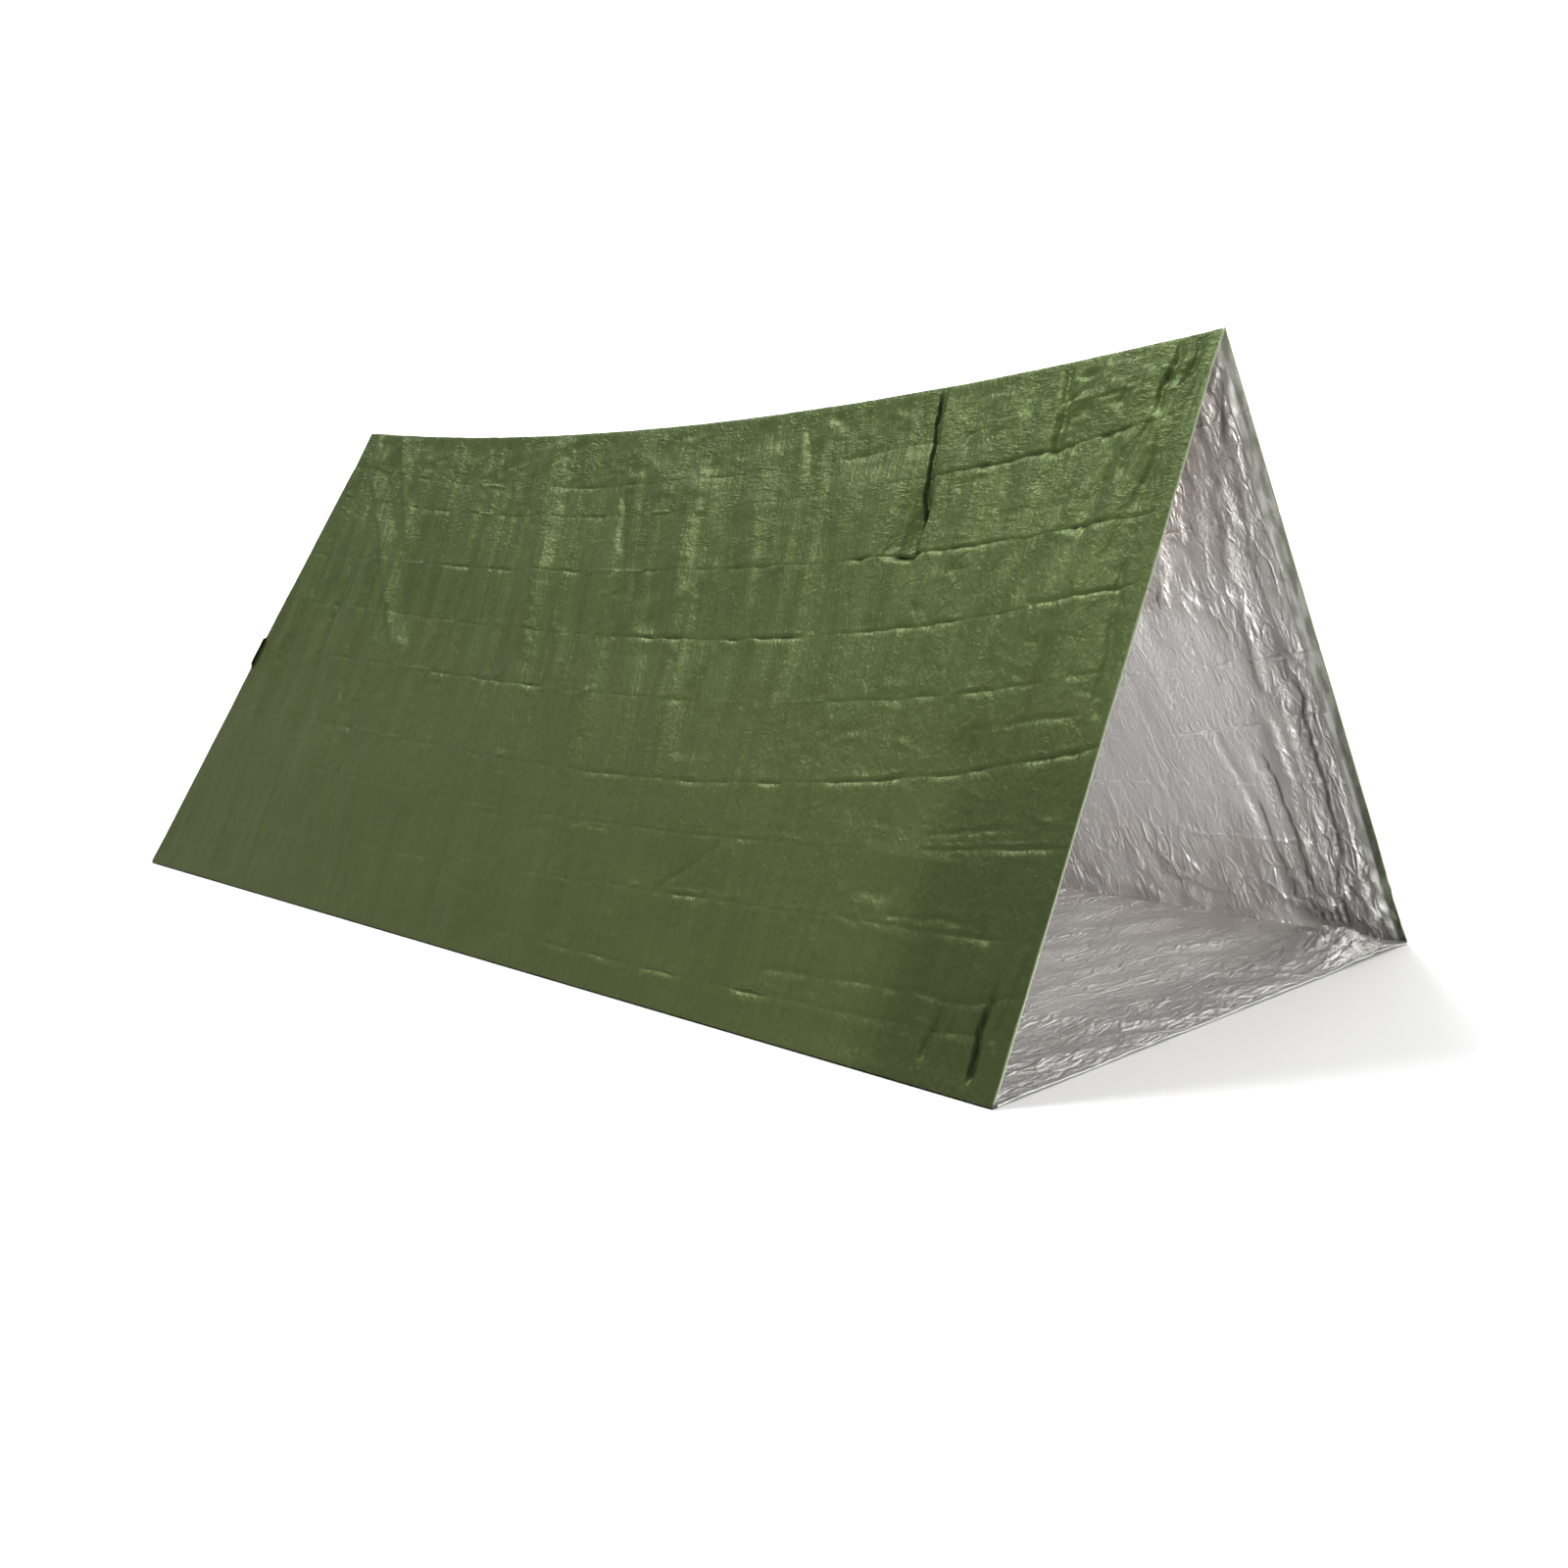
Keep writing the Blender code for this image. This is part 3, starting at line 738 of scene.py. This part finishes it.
class Finish:
    """A material of one film: its tree, its shader and the film's own metres, y across and girth up."""

    def __init__(self, name):
        self.material = bpy.data.materials.new(name)
        self.material.use_nodes = True
        self.tree = self.material.node_tree
        self.shader = self.tree.nodes["Principled BSDF"]
        metres = self.node("ShaderNodeUVMap", {"uv_map": "film"})[0]
        self.along, self.up, _ = self.node("ShaderNodeSeparateXYZ", {}, {0: metres})

    def node(self, kind, settings=None, inputs=None):
        return add_node(self.tree, kind, settings, inputs)

    def mark(self, name):
        """A number that the mesh keeps for each point."""
        return self.node("ShaderNodeAttribute", {"attribute_name": name})[2]

    def mix(self, share, first, second):
        """Colour that goes from the first to the second by a share."""
        return self.node("ShaderNodeMix", {"data_type": "RGBA"}, {0: share, 6: first, 7: second})[2]

    def grain(self, across, up, detail, seed, distortion=0.0, along=None):
        """Noise from 0 to 1, with cells of about those sizes along the tent and up the wall, in metres."""
        along = self.along if along is None else along
        place = self.node("ShaderNodeCombineXYZ", {}, {0: along / across, 1: self.up / up, 2: seed})[0]
        values = {"Vector": place, "Scale": 1.0, "Detail": detail, "Distortion": distortion}
        return self.node("ShaderNodeTexNoise", {}, values)[0]

    def facets(self, size, seed, stretch):
        """Distance to the nearest crease of a net of random cells, 0 on the crease."""
        values = {0: self.along / size, 1: self.up / size / stretch, 2: seed}
        place = self.node("ShaderNodeCombineXYZ", {}, values)[0]
        settings = {"feature": "DISTANCE_TO_EDGE"}
        return self.node("ShaderNodeTexVoronoi", settings, {"Vector": place, "Scale": 1.0})[0]

    def set(self, name, value):
        if isinstance(value, Wire):
            self.tree.links.new(value.socket, self.shader.inputs[name])
        else:
            self.shader.inputs[name].default_value = value

    def bump(self, height, distance):
        """Feeds a height, in units of distance, to the shader's normal."""
        self.set("Normal", self.node("ShaderNodeBump", {}, {"Height": height, "Distance": distance})[0])


def olive_film():
    """Olive film, satin: streaked along its gathers, with light and shade painted in broad streaks along
    them, painted darker as shade away from the light and low by the front opening, and paler on worn creases.
    """
    finish = Finish("olive_film")
    share = finish.mark("climb_share")
    wear = finish.mark("wear")
    base = finish.mix(share.ramp(0.25, 1.0), (0.092, 0.118, 0.041, 1), (0.080, 0.115, 0.034, 1))
    gather = finish.mark("gather")
    turned = finish.mark("turned")
    streaks = finish.grain(0.012, 0.25, 3.0, 3.0, 0.0, gather)
    gather_shading = finish.grain(0.034, 0.30, 2.0, 3.0, 0.0, gather).ramp(0.36, 0.64)
    patches = finish.grain(0.16, 0.12, 2.0, 5.0)
    # Painted shade: darker low on the wall by the front opening
    shaded_low_front = (0 - finish.along).ramp(0.80, 0.90) * (1 - share.ramp(0.25, 0.60))
    # The broad streaks along the gathers are painted light and shade; the fine streaks and patches are the
    # film's own tone
    tone_and_shade = 0.75 + 0.30 * streaks + 0.22 * patches + 0.20 * share.ramp(0.30, 0.60) * (gather_shading - 0.5)
    # Painted shade where the film turns from the light, and low by the front opening
    tone_and_shade = tone_and_shade * (1 - 0.72 * turned) * (1 - 0.32 * shaded_low_front)
    toned_and_shaded = finish.node("ShaderNodeVectorMath", {"operation": "SCALE"}, {0: base, 3: tone_and_shade})[0]
    worn = finish.mix(wear * 0.14, toned_and_shaded, (0.19, 0.25, 0.11, 1))
    finish.set("Base Color", worn)
    finish.set("Roughness", 0.40 + 0.12 * finish.grain(0.03, 0.05, 3.0, 8.0))
    fine = finish.grain(0.005, 0.008, 3.0, 1.0, 0.6)
    streaked = finish.grain(0.006, 0.09, 3.0, 9.0, 0.0, gather)
    mottled = finish.grain(0.014, 0.022, 2.0, 2.0, 1.2)
    crumpled = finish.grain(0.019, 0.0065, 2.0, 4.0, 0.9).ramp(0.48, 0.72)
    crumpled = crumpled * finish.grain(0.09, 0.07, 1.0, 6.0).ramp(0.42, 0.62)
    relief = 0.6 * fine + (0.3 + 0.6 * share.ramp(0.15, 0.55)) * streaked + 1.1 * mottled
    relief = relief + 1.3 * share.ramp(0.66, 0.88) * crumpled
    finish.bump(relief, 0.0013)
    finish.set("Metallic", 0.45)
    finish.set("Specular IOR Level", 0.12)
    return finish.material


def silver_film():
    """Aluminised film, crinkled: calm halfway up a wall, with paler colour painted there as a brighter
    reflection, and painted shade, darker and browner by the ridge and darker in front, on the floor and in
    turned folds.
    """
    finish = Finish("silver_film")
    wear = finish.mark("wear")
    patches = finish.grain(0.10, 0.12, 3.0, 6.0)
    base = finish.mix(patches.ramp(0.3, 0.7), (0.83, 0.795, 0.77, 1), (0.90, 0.89, 0.885, 1))
    share = finish.mark("climb_share")
    # Painted shade: darker and browner towards the ridge
    base = finish.mix(share.ramp(0.55, 0.88) * 0.85, base, (0.47, 0.375, 0.325, 1))
    base = finish.mix(wear * 0.4, base, (0.90, 0.89, 0.87, 1))
    turned = finish.mark("turned")
    # The stretch by the front opening, whose colour is painted darker as shade
    shaded_front = (0 - finish.along).ramp(0.85, 1.0)
    calm = share.ramp(0.10, 0.25) * (1 - share.ramp(0.48, 0.62)) * (1 - shaded_front)
    # The smooth zone halfway up: its weaker bump is real, its paler colour a painted reflection
    base = finish.mix(calm * 0.9, base, (0.95, 0.955, 0.96, 1))
    # Painted shade: the same film is darker on the floor
    base = finish.mix(1 - share.ramp(0.0, 0.004), base, (0.78, 0.755, 0.73, 1))
    base = finish.mix(shaded_front * 0.75, base, (0.42, 0.41, 0.395, 1))
    # Painted shade: near black in the folds that turn from the light
    finish.set("Base Color", finish.mix(turned * 0.8, base, (0.13, 0.12, 0.11, 1)))
    finish.set("Metallic", 0.7)
    finish.set("Roughness", 0.27 + 0.16 * finish.grain(0.05, 0.09, 3.0, 7.0))
    fine = finish.grain(0.005, 0.009, 3.0, 1.0, 0.8)
    strokes = finish.grain(0.013, 0.040, 2.0, 9.0, 1.4) * finish.grain(0.09, 0.12, 1.0, 3.0).ramp(0.3, 0.65)
    creased = 1 - finish.facets(0.020, 2.0, 2.6).ramp(0.0, 0.16)
    creased = creased * finish.grain(0.07, 0.09, 1.0, 4.0).ramp(0.4, 0.7)
    relief = (3.6 * strokes + 1.2 * creased) * (1 - 0.8 * calm) * (1 - 0.4 * share.ramp(0.50, 0.70))
    finish.bump(fine + relief, 0.0022)
    return finish.material


def hem_film():
    """The doubled edge: a patchy silver band, green along its rim and painted dark as shadow low on the far
    wall, and the rolled lip in olive, painted near black as shade at the rear.
    """
    finish = Finish("hem_film")
    roll = finish.mark("roll")
    patches = finish.grain(0.012, 0.05, 3.0, 6.0)
    rim = finish.along.math("ABSOLUTE", finish.along).ramp(*HEM_RIM)
    silver = finish.mix(patches.ramp(0.4, 0.6), (0.50, 0.50, 0.46, 1), (0.84, 0.84, 0.82, 1))
    green = finish.mix(patches.ramp(0.4, 0.6), (0.17, 0.20, 0.12, 1), (0.42, 0.45, 0.36, 1))
    # Painted shadow: the band darkens towards the far wall's foot
    low = 1 - (2 * WALL_LENGTH - finish.up).ramp(0.15, 0.60)
    green = finish.mix(low * 0.8, green, (0.05, 0.06, 0.035, 1))
    band = finish.mix(rim * (0.45 + 0.5 * low), silver, green)
    # Painted shade: the lip is near black at the rear opening
    lip = finish.mix(finish.along.ramp(0.0, 1.0), (0.17, 0.21, 0.12, 1), (0.045, 0.045, 0.03, 1))
    finish.set("Base Color", finish.mix(roll, band, lip))
    finish.set("Metallic", 0.85 - 0.6 * roll)
    finish.set("Roughness", 0.30 + 0.14 * finish.grain(0.03, 0.04, 3.0, 7.0))
    finish.bump(finish.grain(0.004, 0.006, 3.0, 1.0, 0.5), 0.0006)
    return finish.material


def new_object(name, data):
    """Adds an object to the scene."""
    made = bpy.data.objects.new(name, data)
    bpy.context.scene.collection.objects.link(made)
    return made


def sheet_mesh(name, points, film, finish, flip=False, **marks):
    """A smooth sheet through a grid of points, rows of columns.

    Its UV map "film" holds each point's place on the film in metres, and "OFBake" how far it is through the
    grid each way, from 0 to 1. Each of marks is a number for every point, kept as an attribute.
    """
    rows, columns = points.shape[:2]
    corner = np.arange(rows * columns).reshape(rows, columns)
    a, b, c, d = corner[:-1, :-1], corner[:-1, 1:], corner[1:, 1:], corner[1:, :-1]
    faces = np.stack((a, d, c, b) if flip else (a, b, c, d), axis=-1).reshape(-1, 4)
    mesh = bpy.data.meshes.new(name)
    mesh.from_pydata(points.reshape(-1, 3), [], faces)
    mesh.shade_smooth()
    across = np.broadcast_to(np.linspace(0, 1, columns), (rows, columns))
    up = np.broadcast_to(np.linspace(0, 1, rows)[:, None], (rows, columns))
    order = faces.reshape(-1)
    for label, places in (("OFBake", np.stack((across, up), axis=-1)), ("film", film)):
        layer = mesh.uv_layers.new(name=label)
        layer.uv.foreach_set("vector", places.reshape(-1, 2)[order].astype(np.float32).ravel())
    for label, values in marks.items():
        layer = mesh.attributes.new(label, "FLOAT", "POINT")
        layer.data.foreach_set("value", np.broadcast_to(values, (rows, columns)).astype(np.float32).ravel())
    mesh.materials.append(finish)
    return new_object(name, mesh)


def wall_climbs(y, side, first, last):
    """Climbs of the rows between two levels: close beside each packing crease and even between two of them.

    Over a short climb above the wall crease, a row is added half way between two that lie further apart than
    a set step.
    """
    rows = []
    for index in range(first, last):
        low, high = crease_level(index, y, side), crease_level(index + 1, y, side)
        step = LOW_ROW_STEP if side == NEAR and index in LOW_ROW_LEVELS else ROW_STEP
        steps = round(float(np.mean(high - low)) / step)
        rows += [low + offset for offset in CREASE_ROWS]
        start, end = low + CREASE_ROWS[-1], high - CREASE_ROWS[-1]
        rows += [start + (end - start) * row / steps for row in range(1, steps)]
        rows += [high - offset for offset in CREASE_ROWS[:0:-1]]
    rows = np.array(rows + [crease_level(last, y, side)])
    curls = (rows[1:].max(axis=1) > LOWER_PANEL) & (rows[:-1].min(axis=1) < LOWER_PANEL + CREASE_BEND)
    coarse = np.flatnonzero(curls & (np.diff(rows, axis=0).mean(axis=1) > CURL_STEP))
    return np.insert(rows, coarse + 1, (rows[coarse] + rows[coarse + 1]) / 2, axis=0)


def strip_girths(y):
    """Girths of the rows of the three strips that the walls are made in, by name."""
    near = wall_climbs(y, NEAR, 0, SEAM_LEVEL)
    near_top = wall_climbs(y, NEAR, SEAM_LEVEL, RIDGE_LEVEL)
    far_top = 2 * WALL_LENGTH - wall_climbs(y, FAR, SEAM_LEVEL, RIDGE_LEVEL)[::-1]
    far = 2 * WALL_LENGTH - wall_climbs(y, FAR, 0, SEAM_LEVEL)[::-1]
    return {"near": near, "ridge": np.concatenate((near_top, far_top[1:])), "far": far}


def blend_strip(piece, strip):
    """Bakes a wall piece's place into its mesh, whatever strip it is in; it is not bent."""
    crease = Vector((-CREASE_REACH, 0, CREASE_RISE))
    if strip == "near":
        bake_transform(piece)
    elif strip == "far":
        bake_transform(piece)
    else:
        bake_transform(piece)


def wall_films(finishes):
    """The outer and inner films of the walls, each in three strips that meet along a packing crease."""
    y = spread(-HALF_LENGTH + EDGE_INSET, HALF_LENGTH - EDGE_INSET, COLUMN_STEP, FINE_COLUMNS)
    for strip, girth in strip_girths(y).items():
        place = np.broadcast_to(y, girth.shape)
        lift, wear = film_relief(place, girth)
        climb = np.minimum(girth, 2 * WALL_LENGTH - girth)
        film = np.stack((place, girth), axis=-1)
        size = (float(np.mean(girth[-1] - girth[0])), 2 * HALF_LENGTH)
        for ply, depth in (("outer", OUTER_DEPTH), ("inner", INNER_DEPTH)):
            points = tube_point(place, girth, lift - depth)
            name = f"{strip}_wall_{ply}_sheet" if strip != "ridge" else f"ridge_{ply}_sheet"
            # Shade is painted into the films' colour where they turn from the light
            turned = away_from_light(lift, y, girth, *FOLD_SHADES[ply])
            marks = {"wear": wear, "climb_share": climb / WALL_LENGTH, "turned": turned}
            marks["gather"] = streak_place(place, climb)
            piece = sheet_mesh(name, points, film, finishes[ply], ply == "outer", **marks)
            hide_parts(*(f"{node}_{ply}_film" for node in STRIP_NODES[strip]))
            blend_strip(piece, strip)


def hem_profile():
    """A hem's section: distances in from the film's edge, depths under its outer face, and 1 where it rolls.

    Last comes the section's width, laid flat.
    """
    band = np.array([1.0, 0.985, 0.9, 0.72, 0.54, 0.36, 0.22, 0.12]) * HEM_WIDTH
    depths = np.full_like(band, HEM_DEPTH)
    depths[0] = INNER_DEPTH + 0.0001
    turn = np.linspace(math.pi / 2, -math.pi / 2, 9)
    middle = HEM_DEPTH - HEM_ROLL
    roll_in = HEM_ROLL * (1.15 - np.cos(turn))
    roll_depth = middle + HEM_ROLL * np.sin(turn)
    lip = np.array([0.5, 1.0]) * HEM_LIP
    inward = np.concatenate((band, roll_in, roll_in[-1] + lip))
    depth = np.concatenate((depths, roll_depth, roll_depth[-1] + lip * 0.12))
    rolled = np.concatenate((np.zeros(len(band)), np.ones(len(turn) + len(lip))))
    width = float(np.sum(np.hypot(np.diff(inward), np.diff(depth))))
    return inward, depth, rolled, width


def wall_hems(finish):
    """The hems of the walls at both openings, each in three strips as the films are."""
    inward, depth, rolled, width = hem_profile()
    lip = np.clip((inward - HEM_ROLL) / HEM_LIP, 0, 1) * rolled
    for end, sign in (("front", -1), ("rear", 1)):
        y = sign * (HALF_LENGTH - inward)
        for strip, girth in strip_girths(y).items():
            if strip == "near":
                girth = np.maximum(girth, HEM_START)
            elif strip == "far":
                girth = np.minimum(girth, 2 * WALL_LENGTH - HEM_START)
            place = np.broadcast_to(y, girth.shape)
            lift, _ = film_relief(place, girth)
            tab = between(girth / WALL_LENGTH, *TAB_SHARES, 0.004) if (end, strip) == ("rear", "near") else 0
            ruffle = 1 + 0.5 * noise(girth / 0.03, 2.5 + sign, 12)
            offset = lift - depth + lip * (RUFFLE_LIFT * ruffle + TAB_LIFT * tab)
            place = place - sign * lip * (RUFFLE_REACH * (ruffle - 1) + TAB_REACH * tab)
            points = tube_point(place, girth, offset)
            film = np.stack((place, girth), axis=-1)
            piece = sheet_mesh(f"{strip}_{end}_hem", points, film, finish, sign > 0, roll=rolled)
            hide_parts(*(f"{node}_{end}_hem" for node in STRIP_NODES[strip]))
            blend_strip(piece, strip)
            float(np.mean(girth[-1] - girth[0]))


def floor_place(across, along):
    """Places of the floor's points on the film."""
    return np.stack((along, across - FLOOR_PLACE), axis=-1)


def floor_films(finishes):
    """The two plies of the floor."""
    x = spread(-FLOOR_REACH, FLOOR_REACH, FLOOR_STEP, FINE_FLOOR_X)
    y = spread(-HALF_LENGTH + EDGE_INSET, HALF_LENGTH - EDGE_INSET, FLOOR_STEP, FINE_FLOOR_Y)
    across, along = np.meshgrid(x, y)
    lift = floor_lift(across, along)
    film = floor_place(across, along)
    for ply, height in (("outer", FLOOR_OUTER), ("inner", FLOOR_INNER)):
        points = np.stack((across, along, lift + height), axis=-1)
        edge_out, edge_height = FLOOR_EDGE[ply]
        points[:, [0, -1], 0] = -HALF_WIDTH - edge_out, HALF_WIDTH + edge_out
        points[:, [0, -1], 2] = edge_height
        marks = {"wear": 0 * lift, "climb_share": 0 * lift, "turned": 0 * lift, "gather": along}
        piece = sheet_mesh(f"floor_{ply}_sheet", points, film, finishes[ply], ply == "outer", **marks)
        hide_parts(f"floor_{ply}_film")
        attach(piece, "floor")


def floor_hems(finish):
    """The hem strips of the floor at the two openings."""
    inward, depth, _, width = hem_profile()
    x = spread(HEM_CORNER_GAP - FLOOR_REACH, FLOOR_REACH - HEM_CORNER_GAP, FLOOR_STEP, FINE_FLOOR_X)
    for end, sign in (("front", -1), ("rear", 1)):
        y = sign * (HALF_LENGTH - inward)
        along, across = np.meshgrid(y, x)
        height = FLOOR_OUTER + np.maximum(depth, -0.0002) + floor_lift(across, along)
        points = np.stack((across, along, height), axis=-1)
        piece = sheet_mesh(f"floor_{end}_hem_strip", points, floor_place(across, along), finish, sign < 0)
        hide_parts(f"floor_{end}_hem")
        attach(piece, "floor")


def lap_seam(finish):
    """The lap that closes the tube: a band on the floor's far edge, its long edges bent down to the film."""
    side = FLOOR_REACH - HEM_CORNER_GAP
    x = side - LAP_WIDTH * np.array([1.0, 0.985, 0.8, 0.6, 0.4, 0.2, 0.015, 0.0])
    rise = LAP_RISE * np.array([0.1, 0.8, 1.0, 1.0, 1.0, 1.0, 0.8, 0.1])
    end = HALF_LENGTH - HEM_WIDTH - 0.001
    y = spread(-end, end, FLOOR_STEP, FINE_FLOOR_Y)
    across, along = np.meshgrid(x, y)
    height = FLOOR_INNER + rise + floor_lift(across, along)
    points = np.stack((across, along, height), axis=-1)
    piece = sheet_mesh("tube_lap_band", points, floor_place(across, along), finish)
    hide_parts("tube_lap_seam")
    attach(piece, "floor")


def add_lamp(data, energy, way):
    """Adds a lamp that shines back along the way to it."""
    data.energy = energy
    lamp = new_object(data.name, data)
    lamp.rotation_euler = way.to_track_quat("Z", "Y").to_euler()
    return lamp


def studio_ground():
    """A large pale square under the tent."""
    square = ((-1, -1), (1, -1), (1, 1), (-1, 1))
    corners = [(x * GROUND_REACH, y * GROUND_REACH, GROUND_LEVEL) for x, y in square]
    ground = bpy.data.meshes.new("studio_floor")
    ground.from_pydata(corners, [], [(0, 1, 2, 3)])
    pale = bpy.data.materials.new("studio_floor")
    pale.use_nodes = True
    shader = pale.node_tree.nodes["Principled BSDF"]
    shader.inputs["Base Color"].default_value = GROUND_TONE
    shader.inputs["Roughness"].default_value = 0.9
    ground.materials.append(pale)
    new_object("studio_floor", ground)


def studio():
    """A pale ground, a white world that is brighter from low on the far side, and soft lamps."""
    scene = bpy.context.scene
    scene.view_settings.view_transform = "Standard"
    studio_ground()
    world = bpy.data.worlds.new("studio")
    world.use_nodes = True
    scene.world = world
    tree = world.node_tree
    direction = add_node(tree, "ShaderNodeTexCoord")[0]
    x, _, z = add_node(tree, "ShaderNodeSeparateXYZ", {}, {0: direction})
    all_round, far_side, above = WORLD_STRENGTHS
    strength = all_round + far_side * (x - 0.55 * z).ramp(-0.15, 0.1) + above * z.ramp(0.7, 1.0)
    tree.links.new(strength.socket, tree.nodes["Background"].inputs["Strength"])
    tree.nodes["Background"].inputs["Color"].default_value = (1, 1, 1, 1)
    key = bpy.data.lights.new("key", "SUN")
    key.angle = math.radians(KEY_ANGLE)
    add_lamp(key, KEY_STRENGTH, Vector(KEY_DIRECTION))
    for name, (size, energy, place, aim) in LAMPS.items():
        data = bpy.data.lights.new(name, "AREA")
        data.size = size
        add_lamp(data, energy, Vector(place) - Vector(aim)).location = place


def photo_camera():
    """The camera of the photograph, fitted to the tent's five corners that it shows."""
    yaw, pitch, roll = math.radians(44.676), math.radians(0.803), math.radians(-0.691)
    place = Vector((-1.8522, -2.1135, 0.5819))
    pixels, focal, axis_rise = 1600, 1641.3, 250
    forward = Vector((math.cos(pitch) * math.sin(yaw), math.cos(pitch) * math.cos(yaw), math.sin(pitch)))
    level = Vector((math.cos(yaw), -math.sin(yaw), 0))
    right = math.cos(roll) * level + math.sin(roll) * level.cross(forward)
    data = bpy.data.cameras.new("photo_camera")
    data.sensor_width = 36
    data.lens = data.sensor_width * focal / pixels
    data.shift_y = -axis_rise / pixels
    camera = new_object("photo_camera", data)
    turn = Matrix((right, right.cross(forward), -forward)).transposed()
    camera.matrix_world = Matrix.Translation(place) @ turn.to_4x4()
    bpy.context.scene.camera = camera


def main():
    """Camera, light and all pieces."""
    photo_camera()
    studio()
    finishes = {"outer": olive_film(), "inner": silver_film(), "hem": hem_film()}
    wall_films(finishes)
    wall_hems(finishes["hem"])
    floor_films(finishes)
    floor_hems(finishes["inner"])
    lap_seam(finishes["inner"])


main()
